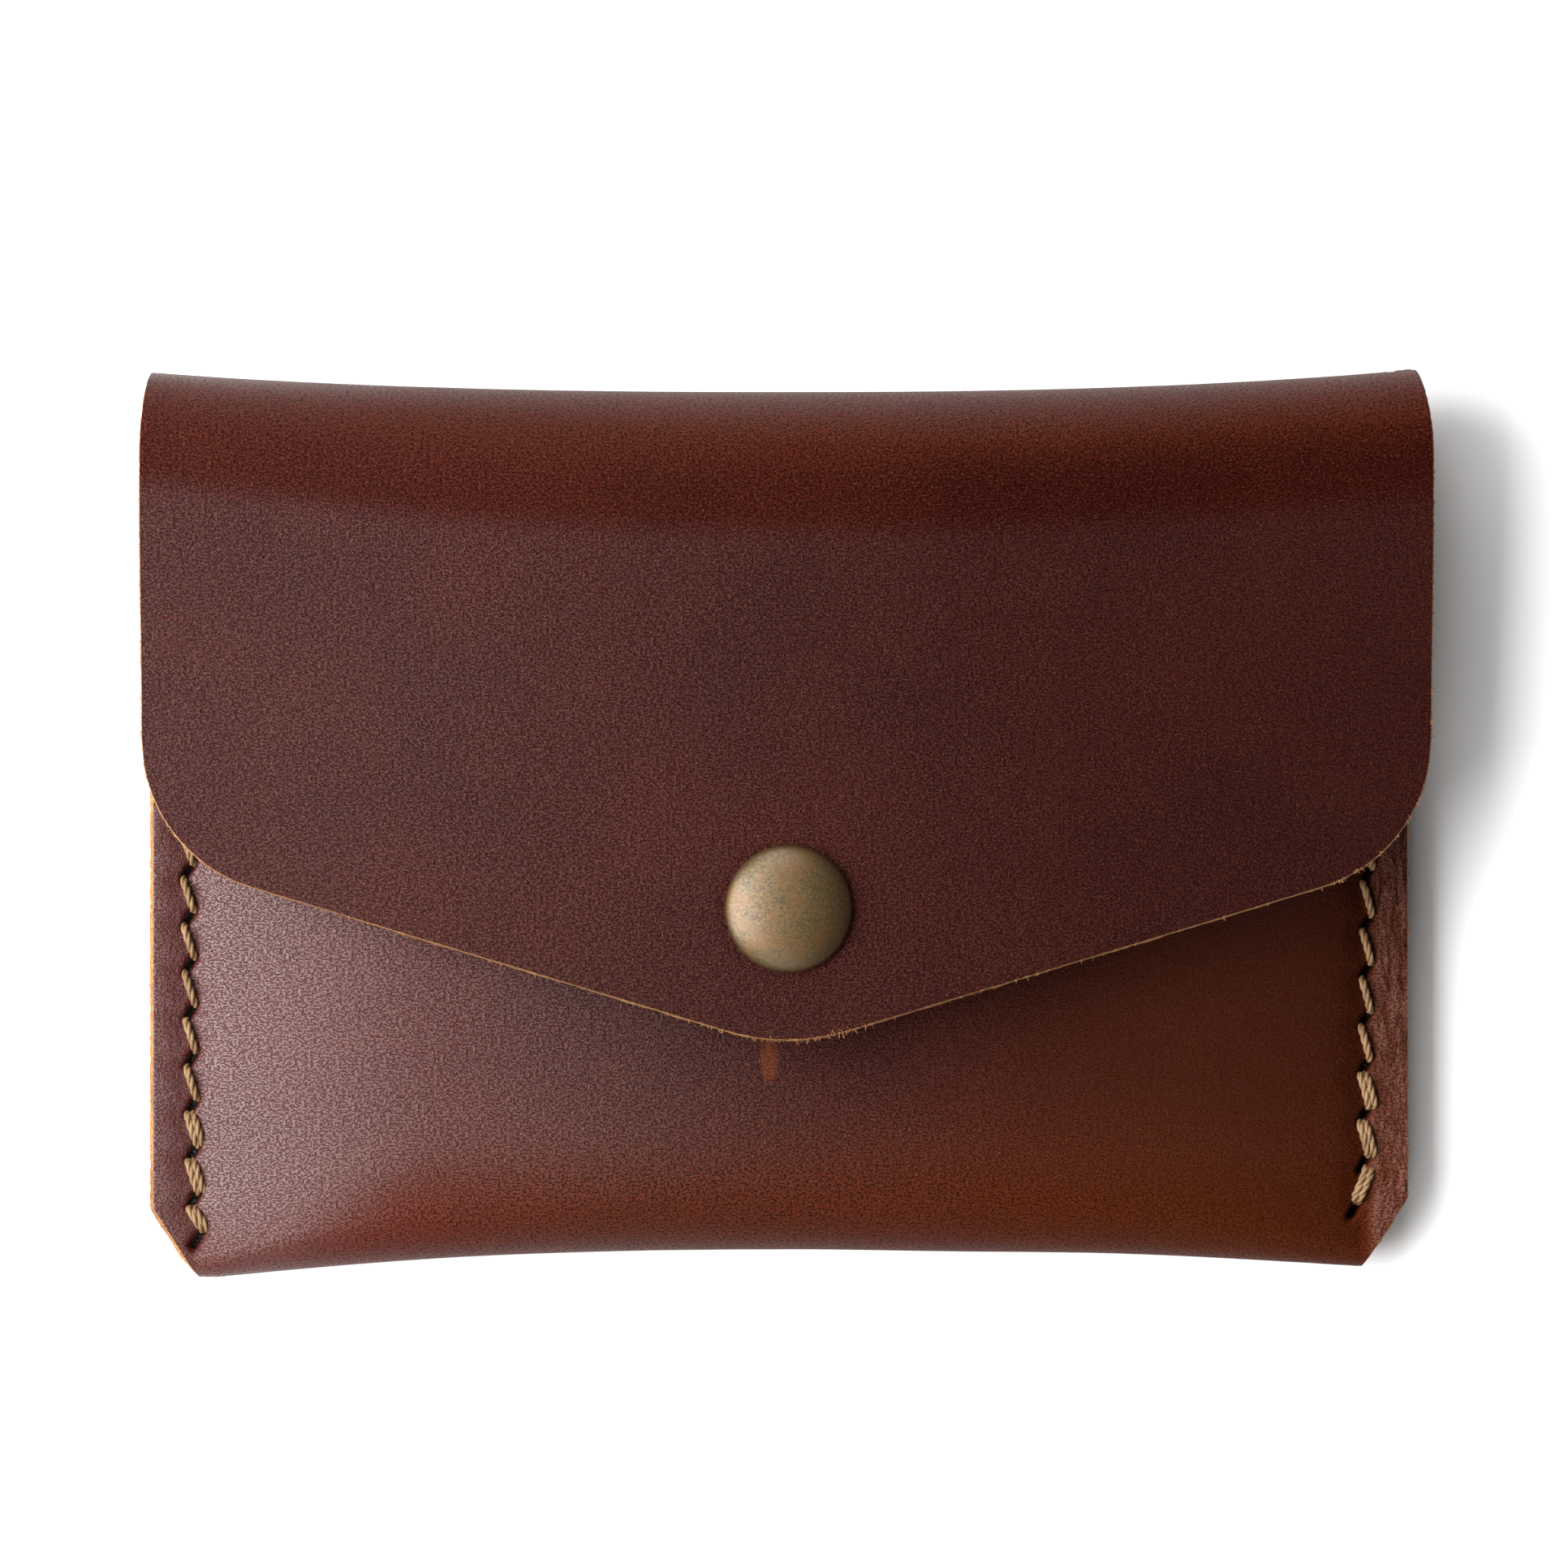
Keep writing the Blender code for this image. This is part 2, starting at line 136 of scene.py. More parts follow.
def ramp(*stops):
    """Positions from (start, step) to the next stop, the last one a bare end."""
    made = []
    for (start, step), after in zip(stops, stops[1:]):
        end = after[0] if isinstance(after, tuple) else after
        count = max(1, round((end - start) / step))
        made += [start + (end - start) * i / count for i in range(count)]
    return np.array(made + [stops[-1]])


# Columns across the strip, closer together at the snap and at the seams
half = ramp((0.0, 0.3), (7.0, 0.9), (44.5, 0.2), 52.7) / 52.7
U = np.concatenate([-half[:0:-1], half])[None, :]


def seam_holes(count, top_x, low_x, pitch, last):
    """Centres of a seam's holes, from its top hole down to the one at the chamfer."""
    first_y = 11.8
    holes = [(top_x + (low_x - top_x) * i / (count - 1), first_y - pitch * i) for i in range(count)]
    return holes + [last]


SEAMS = {
    "left": seam_holes(12, -50.1, -49.4, 3.92, (-49.0, -34.5)),
    "right": seam_holes(11, 48.7, 48.1, 4.0, (47.4, -31.9)),
}


def to_segment(x, y, a, b):
    """Distance of points from the segment a to b."""
    a, b = np.asarray(a, float), np.asarray(b, float)
    d = b - a
    t = np.clip(((x - a[0]) * d[0] + (y - a[1]) * d[1]) / (d @ d), 0, 1)
    return np.hypot(x - a[0] - t * d[0], y - a[1] - t * d[1])


def seam_dents(x, y):
    """(depth, painted shade) of the pricked holes and of the grooves that the stitches lie in; only
    the holes are painted darker.
    """
    depth, hole_shade = np.zeros_like(x), np.zeros_like(x)
    hole_deep, hole_wide, shade_wide = 1.15, 0.36, 0.40
    groove_deep, groove_wide = 0.36, 1.35
    for holes in SEAMS.values():
        near = abs(x - holes[0][0]) < 6
        px, py = x[near], y[near]
        d, k = np.zeros_like(px), np.zeros_like(px)
        for hole in holes:
            slit = to_segment(px, py, hole - SLIT, hole + SLIT)
            d = np.maximum(d, hole_deep * np.exp(-((slit / hole_wide) ** 2)))
            # painted shade in and round each pricked hole
            k = np.maximum(k, np.exp(-((slit / shade_wide) ** 2)))
        for here, there in zip(holes, holes[1:]):
            run = to_segment(px, py, here - SLIT, there + SLIT)
            d = np.maximum(d, groove_deep * np.exp(-((run / groove_wide) ** 2)))
        depth[near], hole_shade[near] = d, k
    return depth, hole_shade


def wobble(x, y, size, seed):
    """Smooth noise of about -1 to 1 over a grid of points."""
    flat = [noise.noise(Vector((a / size, b / size, seed))) for a, b in zip(x.ravel(), y.ravel())]
    return np.array(flat).reshape(x.shape)


def pocket_side(u, y):
    """X of a column of the pocket at a height, its lower corners cut off."""
    cut = np.clip((y - bottom_y(SAG_HALF * u)) / CHAMFER_Y, 0.0, 1.0)
    return u * (sided(u, POCKET_LEFT, POCKET_RIGHT) - CHAMFER_X * (1 - cut))


def pocket_grid(rows, base, dents):
    """Points of the pocket's leather at a depth under its outside, row by row along the strip."""
    out = []
    edge_low = bottom_y(SAG_HALF * U) + SEAM_THICK / 2
    for part, t in rows:
        if part == "front":
            x = pocket_side(U, POCKET_TOP + (edge_low - POCKET_TOP) * t)
            y = POCKET_TOP + (bottom_y(x) + pocket_thick(x) / 2 - POCKET_TOP) * t
            out.append((x, y, back_z(x, y) + pocket_thick(x), 0, -1))
        elif part == "bottom":
            angle = math.pi * (0.5 + t)
            x = pocket_side(U, edge_low + SEAM_THICK / 2 * math.cos(angle))
            middle = pocket_thick(x) / 2
            y = bottom_y(x) + middle
            z = back_z(x, y) + middle
            out.append((x, y + middle * math.cos(angle), z + middle * math.sin(angle),
                        -math.cos(angle), -math.sin(angle)))
        elif part == "back":
            widest = sided(U, POCKET_LEFT - FOLD_LEFT, FOLD_RIGHT - POCKET_RIGHT)
            widest = np.where(U < 0, -widest, widest) * t
            x = pocket_side(U, edge_low + (FOLD_MID - edge_low) * t) + widest * abs(U) * np.sign(U)
            low, high = bottom_y(x) + pocket_thick(x) / 2, fold_circle(x)[0]
            y = low + (high - low) * t
            out.append((x, y, back_z(x, y), 0, 1))
        else:
            x = fold_side(U)
            angle = -math.pi / 2 * (1 - t)
            x, y, z = fold_points(x, angle, 0.0)
            out.append((x, y, z, -math.cos(angle), -math.sin(angle)))
    x, y, z, ny, nz = (np.concatenate([np.broadcast_to(r[k], U.shape) for r in out])
                       for k in range(5))
    depth = base + dents(x, y)
    return np.stack([x, y + ny * depth, z + nz * depth], axis=2)


def fold_side(u):
    return u * sided(u, FOLD_LEFT, FOLD_RIGHT)


def flap_grid(arc, flat, base, dents):
    """Points of the flap's leather at a depth under its outside, from mid-fold to its cut end."""
    out = []
    for t in arc:
        angle = math.pi / 2 * t
        side = fold_side(U)
        x, y, z = fold_points(side + (U * FLAP_HALF - side) * smooth(t, 0, 1), angle, 0.0)
        out.append((x, y, z, -math.cos(angle), -math.sin(angle)))
    for t in flat:
        x = U * FLAP_HALF
        high, low = fold_circle(x)[0], flap_end_y(x)
        y = high + (low - high) * t
        out.append((x, y, flap_z(x, y), 0, -1))
    x, y, z, ny, nz = (np.concatenate([np.broadcast_to(r[k], U.shape) for r in out])
                       for k in range(5))
    depth = base + dents(x, y)
    return np.stack([x, y + ny * depth, z + nz * depth], axis=2)


def along(grid, start):
    """Length along the strip of each point of a grid."""
    steps = np.linalg.norm(np.diff(grid, axis=0), axis=2)
    return start + np.concatenate([np.zeros((1, grid.shape[1])), np.cumsum(steps, axis=0)])


def mesh_object(name, points, faces, materials, slots=None):
    """An object from points in millimetres and faces that all have the same number of corners."""
    mesh = bpy.data.meshes.new(name)
    points = np.asarray(points, float) * MM
    mesh.vertices.add(len(points))
    mesh.vertices.foreach_set("co", points.astype(np.float32).ravel())
    faces = np.asarray(faces, np.int32)
    mesh.loops.add(faces.size)
    mesh.loops.foreach_set("vertex_index", faces.ravel())
    mesh.polygons.add(len(faces))
    starts = np.arange(0, faces.size, faces.shape[1], dtype=np.int32)
    mesh.polygons.foreach_set("loop_start", starts)
    mesh.update(calc_edges=True)
    for m in materials:
        mesh.materials.append(m)
    if slots is not None:
        mesh.polygons.foreach_set("material_index", np.asarray(slots, np.int32))
    mesh.polygons.foreach_set("use_smooth", np.ones(len(faces), bool))
    obj = bpy.data.objects.new(name, mesh)
    bpy.context.scene.collection.objects.link(obj)
    return obj


def attribute(obj, name, values, kind="FLOAT"):
    made = obj.data.attributes.new(name, kind, "POINT")
    field = "value" if kind == "FLOAT" else "vector"
    made.data.foreach_set(field, np.asarray(values, np.float32).ravel())


def face_outwards(obj):
    shape = bmesh.new()
    shape.from_mesh(obj.data)
    bmesh.ops.recalc_face_normals(shape, faces=shape.faces)
    shape.to_mesh(obj.data)
    shape.free()


def quads(index):
    """A face for each cell of a grid of point numbers."""
    a, b = index[:-1, :-1].ravel(), index[:-1, 1:].ravel()
    return np.stack([a, b, index[1:, 1:].ravel(), index[1:, :-1].ravel()], axis=1)


def leather_sheet(name, outer, inner, strip, hole, loop, swell, materials):
    """A sheet with a smooth grain side, a flesh side and a rough raw edge round its free sides.

    Each point carries its place on the flat strip: X across, length along, and depth. The edge
    stands out by EDGE_BULGE, and by swell where it is on the left and below the top fold.
    """
    rows, across = outer.shape[:2]
    count = rows * across
    index = np.arange(count).reshape(rows, across)
    faces = [quads(index), quads(index)[:, ::-1] + count]
    slots = [np.zeros(len(faces[0])), np.ones(len(faces[1]))]
    points = [outer.reshape(-1, 3), inner.reshape(-1, 3)]
    coords = np.concatenate([strip[..., None], strip[..., None] * 0], axis=2)
    coords = np.concatenate([outer[..., :1], coords], axis=2).reshape(-1, 3)
    coords = [coords, coords + (0, 0, LEATHER)]
    top, low = points[0][loop], points[1][loop]
    tangent = np.gradient((top + low) / 2, axis=0)
    outward = np.cross(tangent, low - top)
    outward /= np.linalg.norm(outward, axis=1)[:, None]
    inside = points[0].mean(axis=0)
    flip = np.sign(((top - inside) * outward)[:, :2].sum(axis=1))
    outward *= np.where(flip == 0, 1, flip)[:, None]
    rings, base = [np.asarray(loop)], 2 * count
    rng = np.random.default_rng(7)
    swollen = (swell - EDGE_BULGE) * (top[:, 0] < 0) * (1 - smooth(top[:, 1], 12, 26))
    for k in range(1, RIM):
        v = k / RIM
        rough = 0.04 * rng.standard_normal(len(loop)) + 0.02
        bulge = (EDGE_BULGE + swollen) * (1 - (2 * v - 1) ** 4)
        ring = top + (low - top) * v + outward * (bulge + rough)[:, None]
        points.append(ring)
        coords.append(coords[0][loop] + (0, 0, LEATHER * v))
        rings.append(base + np.arange(len(loop)))
        base += len(loop)
    rings.append(np.asarray(loop) + count)
    for a, b in zip(rings, rings[1:]):
        made = np.stack([a[:-1], b[:-1], b[1:], a[1:]], axis=1)
        faces.append(made)
        slots.append(np.full(len(made), 2))
    points, coords = np.concatenate(points), np.concatenate(coords)
    obj = mesh_object(name, points, np.concatenate(faces), materials, np.concatenate(slots))
    attribute(obj, "strip", coords, "FLOAT_VECTOR")
    # the grain side's points carry the painted shade of the pricked holes
    hole_shade = np.zeros(len(points))
    hole_shade[:count] = hole.ravel()
    attribute(obj, "hole", hole_shade)
    face_outwards(obj)
    obj.data.set_sharp_from_angle(angle=math.radians(50))
    return obj, top, outward


def border(rows, across, at_start):
    """Grid indices along one side, round the free end at the strip's start or end, and back."""
    index = np.arange(rows * across).reshape(rows, across)
    if at_start:
        return np.concatenate([index[::-1, 0], index[0, 1:], index[1:, -1]])
    return np.concatenate([index[:, 0], index[-1, 1:], index[-2::-1, -1]])


# ---------------------------------------------------------------- materials


class Paint:
    """A node material being built."""

    def __init__(self, name):
        self.material = bpy.data.materials.new(name)
        self.material.use_nodes = True
        self.tree = self.material.node_tree
        self.shader = self.tree.nodes["Principled BSDF"]

    def add(self, kind, inputs=None, **settings):
        node = self.tree.nodes.new("ShaderNode" + kind)
        for key, value in settings.items():
            setattr(node, key, value)
        for key, value in (inputs or {}).items():
            self.set(node.inputs[key], value)
        return node

    def set(self, socket, value):
        if isinstance(value, bpy.types.NodeSocket):
            self.tree.links.new(value, socket)
        elif isinstance(value, tuple) and socket.type == "RGBA":
            socket.default_value = (*value, 1.0)
        else:
            socket.default_value = value

    def math(self, operation, a, b=0.0):
        return self.add("Math", {0: a, 1: b}, operation=operation).outputs[0]

    def times(self, a, b):
        return self.math("MULTIPLY", a, b)

    def mix(self, factor, a, b):
        return self.add("Mix", {0: factor, 6: a, 7: b}, data_type="RGBA").outputs[2]

    def band(self, value, low, high, start=0.0, end=1.0):
        """start where value is low, end where it is high, and an even ease between them."""
        ends = {"Value": value, "From Min": low, "From Max": high, "To Min": start, "To Max": end}
        return self.add("MapRange", ends, interpolation_type="SMOOTHSTEP").outputs[0]

    def noise(self, place, scale, detail=3.0, rough=0.55, warp=0.0):
        look = {"Scale": scale, "Detail": detail, "Roughness": rough, "Distortion": warp}
        return self.add("TexNoise", {"Vector": place, **look}).outputs[0]

    def stretched(self, place, scale):
        return self.add("Mapping", {"Vector": place, "Scale": scale}).outputs[0]

    def relief(self, height, distance, strength):
        """A bump of distance in metres for each unit of height."""
        depths = {"Height": height, "Distance": distance, "Strength": strength}
        return self.add("Bump", depths).outputs[0]

    def principled(self, **inputs):
        for key, value in inputs.items():
            self.set(self.shader.inputs[key.replace("_", " ")], value)
        return self.material


def strip_place(p, scale=(1, 1, 1)):
    """The place on the flat strip, in millimetres."""
    return p.stretched(p.add("Attribute", attribute_name="strip").outputs["Vector"], scale)


def spot(p, place, x, s, wide, tall):
    """1 in the middle of an oval on the strip, 0 outside it."""
    moved = p.add("Mapping", {"Vector": place, "Location": (-x / wide, -s / tall, 0),
                              "Scale": (1 / wide, 1 / tall, 0)}).outputs[0]
    length = p.add("VectorMath", {0: moved}, operation="LENGTH").outputs["Value"]
    return p.band(length, 1.15, 0.55)


def grain_leather(bottom_fold, top_fold):
    """The smooth grain side. bottom_fold and top_fold are lengths along the strip."""
    p = Paint("grain_leather")
    place = strip_place(p)
    across = p.add("SeparateXYZ", {0: place})
    x, s = across.outputs[0], across.outputs[1]
    painted_shade_black, warm = (0.0, 0.0, 0.0), (0.041, 0.0034, 0.0012)
    deep, cloud = (0.029, 0.0020, 0.0009), (0.052, 0.0075, 0.0020)
    pulled, wear_and_sheen = (0.074, 0.0130, 0.0025), (0.170, 0.077, 0.061)
    pore_dark, fleck_light = (0.009, 0.0016, 0.0010), (0.105, 0.024, 0.008)
    scar_tan, tan, painted_sheen_red = (0.13, 0.028, 0.004), (0.062, 0.0125, 0.0014), (0.120, 0.006, 0.005)
    painted_hole_shade = (0.004, 0.0015, 0.001)

    # lengths past the two folds, and masks from 0 to 1 of where on the strip a point is
    past_bottom = p.math("ABSOLUTE", p.math("SUBTRACT", s, bottom_fold))
    past_bottom = p.math("ADD", past_bottom, p.band(x, -28.0, -46.0, 0.0, 8.0))
    past_top = p.math("ABSOLUTE", p.math("SUBTRACT", s, top_fold))
    bend = p.math("MAXIMUM", p.band(past_bottom, 20.0, 4.0), p.band(past_top, 12.5, 7.0, 0.0, 0.7))
    shoulder = p.times(p.band(past_top, 17.5, 13.5), p.band(past_top, 5.0, 8.5, 0.75, 0.95))
    dull = p.math("MAXIMUM", p.band(past_bottom, 15.0, 3.5), shoulder)
    on_flap = p.band(s, top_fold, top_fold + 14.0)
    margin = p.times(p.band(x, 48.2, 49.4), p.band(s, top_fold - 30.0, top_fold - 40.0))

    # grain
    broad, cloudy = p.noise(place, 0.028, 3.0, 0.5), p.noise(place, 0.11, 4.0, 0.6)
    pore = p.band(p.noise(p.stretched(place, (0.7, 1.3, 1.0)), 5.4, 1.5, 0.55), 0.49, 0.61)
    fleck = p.band(p.noise(place, 5.2, 1.5, 0.6), 0.55, 0.66)
    fine, crease = p.noise(place, 8.0, 2.0, 0.6), p.noise(place, 1.5, 3.0, 0.55)
    crumple = p.noise(p.stretched(place, (1.5, 0.45, 1.0)), 0.75, 3.0, 0.5, 1.2)

    # colour: pulled leather is lighter and more orange where it bends; painted shade darkens the
    # right side, and a painted reddish sheen lies on the pocket's left
    color = p.mix(p.band(broad, 0.35, 0.65), deep, warm)
    color = p.mix(p.times(p.band(cloudy, 0.45, 0.75), 0.35), color, cloud)
    color = p.mix(p.times(bend, 0.6), color, pulled)
    # the crumpled margin outside the right seam is lighter on its wrinkles' ridges: worn leather
    # and a painted sheen, with painted shade in the creases
    color = p.mix(p.times(margin, p.band(crumple, 0.36, 0.66, 0.25, 0.85)), color, wear_and_sheen)
    color = p.mix(p.times(pore, p.band(on_flap, 0.0, 1.0, 0.85, 0.75)), color, pore_dark)
    color = p.mix(p.times(fleck, 0.6), color, fleck_light)
    color = p.mix(p.times(spot(p, place, -1.4, 32.4, 0.85, 1.9), 0.55), color, scar_tan)
    # painted shade: the leather is darkened towards the right, away from the key light, less at the
    # bends
    right_side_shade = p.times(p.band(x, -30.0, 30.0, 0.0, 0.26), p.band(bend, 0.0, 0.7, 1.0, 0.0))
    color = p.mix(right_side_shade, color, painted_shade_black)
    to_pocket = (s, top_fold - 40.0, top_fold - 28.0, 1.0)
    color = p.mix(p.times(p.band(x, 0.0, 36.0, 0.0, 0.34), p.band(*to_pocket, 0.0)), color, tan)
    # painted sheen: a redder pocket left, where the key light's sheen lies, and a little of it on
    # the flap
    color = p.mix(p.times(p.band(x, -14.0, -46.0, 0.0, 0.20), p.band(*to_pocket, 0.15)), color, painted_sheen_red)
    # painted shade in and round the pricked holes
    hole = p.add("Attribute", attribute_name="hole").outputs["Fac"]
    color = p.mix(p.band(hole, 0.25, 0.85), color, painted_hole_shade)

    # relief, stronger on the flap and crumpled outside the right seam
    height = p.math("ADD", p.times(pore, -0.05), p.times(fine, 0.06))
    height = p.math("ADD", height, p.times(crease, 0.045))
    height = p.times(height, p.band(on_flap, 0.0, 1.0, 1.1, 1.9))
    height = p.math("ADD", height, p.times(crumple, p.times(margin, 0.55)))

    # shine: most polish on the pocket's left, least at the bends and in the pores
    shine = p.math("ADD", p.times(pore, 0.10), p.times(cloudy, 0.04))
    rough = p.math("ADD", shine, p.band(dull, 0.0, 1.0, 0.30, 0.48))
    polish = p.math("MAXIMUM", p.band(x, -40.0, 25.0, 1.04, 0.42), p.band(past_top, 12.0, 6.0))
    on_pocket = p.band(x, -50.0, -26.0, 0.60, 0.285)
    gloss = p.times(polish, p.band(on_flap, 0.0, 1.0, on_pocket, 0.205))
    gloss = p.times(gloss, p.band(p.math("MAXIMUM", dull, margin), 0.0, 1.0, 1.0, 0.35))
    gloss = p.times(gloss, p.band(pore, 0.0, 1.0, 1.05, 0.6))
    return p.principled(Base_Color=color, Roughness=rough, Normal=p.relief(height, 0.001, 1.0),
                        Specular_IOR_Level=gloss)


def flesh_leather():
    p = Paint("flesh_leather")
    place = strip_place(p)
    fibre = p.noise(place, 1.8, 6.0, 0.7, 0.6)
    cloudy = p.noise(place, 0.09, 3.0)
    color = p.mix(p.band(fibre, 0.3, 0.7), (0.19, 0.085, 0.04), (0.36, 0.19, 0.10))
    color = p.mix(p.times(p.band(cloudy, 0.4, 0.7), 0.4), color, (0.16, 0.06, 0.03))
    bump = p.relief(fibre, 0.0003, 0.7)
    return p.principled(Base_Color=color, Roughness=0.9, Normal=bump, Specular_IOR_Level=0.25)


def raw_edge():
    p = Paint("raw_edge")
    place = strip_place(p, (1, 1, 3))
    fibre, patchy = p.noise(place, 2.6, 5.0, 0.7), p.noise(place, 0.35, 3.0, 0.6)
    color = p.mix(p.band(fibre, 0.3, 0.7), (0.16, 0.060, 0.019), (0.42, 0.215, 0.078))
    color = p.mix(p.band(patchy, 0.35, 0.75, 0.0, 0.7), color, (0.13, 0.045, 0.015))
    bump = p.relief(fibre, 0.0002, 0.7)
    return p.principled(Base_Color=color, Roughness=0.85, Normal=bump, Specular_IOR_Level=0.3)


def object_place(p):
    """The place on an object, in millimetres."""
    return p.stretched(p.add("TexCoord").outputs["Object"], (1 / MM, 1 / MM, 1 / MM))


def waxed_thread():
    p = Paint("waxed_thread")
    place = object_place(p)
    patchy, fine = p.noise(place, 0.9, 3.0), p.noise(place, 9.0, 3.0)
    color = p.mix(p.band(patchy, 0.35, 0.65), (0.15, 0.078, 0.029), (0.235, 0.134, 0.056))
    color = p.mix(p.times(p.band(fine, 0.35, 0.6), 0.35), color, (0.12, 0.055, 0.02))
    bump = p.relief(fine, 0.00006, 0.6)
    return p.principled(Base_Color=color, Roughness=0.62, Normal=bump)


def antique_brass():
    p = Paint("antique_brass")
    place = object_place(p)
    speck, patchy = p.noise(place, 4.5, 5.0, 0.7), p.noise(place, 0.5, 3.0)
    color = p.mix(p.band(speck, 0.35, 0.65), (0.060, 0.036, 0.012), (0.142, 0.093, 0.035))
    color = p.mix(p.times(p.band(patchy, 0.4, 0.65), 0.6), color, (0.140, 0.066, 0.018))
    rough = p.band(speck, 0.3, 0.7, 0.70, 0.56)
    bump = p.relief(speck, 0.00004, 0.6)
    return p.principled(Base_Color=color, Metallic=1.0, Roughness=rough, Normal=bump,
                        Coat_Weight=0.8, Coat_Roughness=0.38)


def spring_wire():
    p = Paint("spring_wire")
    streak = p.noise(object_place(p), 3.0, 2.0)
    color = p.mix(streak, (0.42, 0.40, 0.37), (0.62, 0.60, 0.56))
    return p.principled(Base_Color=color, Metallic=1.0, Roughness=0.3)


# ---------------------------------------------------------------- leather


def unit(step):
    """Even positions from 0 to 1."""
    return list(np.linspace(0, 1, max(2, round(1 / step) + 1)))


def pocket_dents(x, y):
    """The seams' dents, a gentle waviness, and wrinkles in the margin outside the right seam."""
    depth, _ = seam_dents(x, y)
    depth += 0.10 * wobble(x, y, 14.0, 3.1)
    wrinkle = wobble(x * 3.4, y * 0.8, 2.2, 8.2) * smooth(x, 49.2, 50.0)
    return depth + 0.15 * wrinkle


def flap_dents(x, y):
    """The ring pressed in round the cap, and a gentle waviness that ends before the fold."""
    r = np.hypot(x - SNAP[0], y - SNAP[1])
    depth = 0.12 * np.exp(-(((r - 5.4) / 0.22) ** 2)) + 0.05 * np.exp(-((r / 7.0) ** 4))
    depth += 0.12 * wobble(x, y, 16.0, 5.7)
    return depth * smooth(y, 33.0, 27.0)


def no_dents(x, y):
    return 0 * x


# Rows along the strip: each step is over the length of its stretch
front = [("front", t) for t in unit(0.3 / 47)]
bottom = [("bottom", t) for t in unit(0.4 / 14)[1:]]
back = [("back", t) for t in unit(0.38 / 62)[1:]]
lower = [("fold", t) for t in unit(0.5 / 13)[1:]]
pocket_rows = front + bottom + back + lower
pocket_out = pocket_grid(pocket_rows, 0.0, pocket_dents)
pocket_in = pocket_grid(pocket_rows, LEATHER, no_dents)
pocket_middle = pocket_grid(pocket_rows, LEATHER / 2, no_dents)
pocket_s = along(pocket_middle, 0.0)
flap_rows = unit(0.5 / 13), unit(0.33 / 50)[1:]
flap_out = flap_grid(*flap_rows, 0.0, flap_dents)
flap_in = flap_grid(*flap_rows, LEATHER, no_dents)
flap_s = along(flap_grid(*flap_rows, LEATHER / 2, no_dents), pocket_s[-1])
middle = U.shape[1] // 2
bottom_s = float(pocket_s[len(front) + len(bottom) // 2, middle])
top_s = float(pocket_s[-1, middle])

leather = [grain_leather(bottom_s, top_s), flesh_leather(), raw_edge()]
pocket_hole_shade = seam_dents(pocket_out[..., 0], pocket_out[..., 1])[1]
pocket_loop = border(*pocket_out.shape[:2], at_start=True)
pocket, _, _ = leather_sheet("leather_pocket", pocket_out, pocket_in, pocket_s, pocket_hole_shade,
                             pocket_loop, EDGE_SWOLLEN, leather)
flap_hole_shade = np.zeros(flap_out.shape[:2])
flap_loop = border(*flap_out.shape[:2], at_start=False)
flap, flap_edge, flap_outward = leather_sheet("leather_flap", flap_out, flap_in, flap_s, flap_hole_shade,
                                              flap_loop, EDGE_BULGE, leather)
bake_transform(pocket)
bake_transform(flap)
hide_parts("pocket_shell", "fold_spine")
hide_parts("flap", "fold_spine")

# ---------------------------------------------------------------- thread


def tube(points, radius, sides):
    """(points, faces, frame) of a round tube along a path, with as little twist as there can be."""
    points = np.asarray(points, float)
    count = len(points)
    tangent = np.gradient(points, axis=0)
    tangent /= np.linalg.norm(tangent, axis=1)[:, None]
    side = np.cross(tangent[0], (0.0, 0.0, 1.0))
    if np.linalg.norm(side) < 0.1:
        side = np.cross(tangent[0], (0.0, 1.0, 0.0))
    sides_of = []
    for t in tangent:
        side = side - t * (side @ t)
        side /= np.linalg.norm(side)
        sides_of.append(side)
    u = np.array(sides_of)
    v = np.cross(tangent, u)
    angle = np.linspace(0, 2 * math.pi, sides, endpoint=False)
    radius = np.broadcast_to(radius, (count,))[:, None, None]
    ring = u[:, None] * np.cos(angle)[None, :, None] + v[:, None] * np.sin(angle)[None, :, None]
    verts = (points[:, None] + ring * radius).reshape(-1, 3)
    index = np.arange(count * sides).reshape(count, sides)
    index = np.concatenate([index, index[:, :1]], axis=1)
    faces = quads(index)
    return verts, faces, (u, v)


def smooth_path(points, step):
    """A Catmull-Rom path through points, at about equal steps."""
    p = np.asarray(points, float)
    p = np.concatenate([[2 * p[0] - p[1]], p, [2 * p[-1] - p[-2]]])
    made = []
    for a, b, c, d in zip(p, p[1:], p[2:], p[3:]):
        count = max(2, round(np.linalg.norm(c - b) / step))
        t = np.arange(count)[:, None] / count
        made.append(0.5 * (2 * b + (c - a) * t + (2 * a - 5 * b + 4 * c - d) * t**2
                           + (3 * b - a - 3 * c + d) * t**3))
    made.append(p[-2][None, :])
    return np.concatenate(made)


FRONT_Z, BACK_Z = BACK_RISE + SEAM_THICK, BACK_RISE


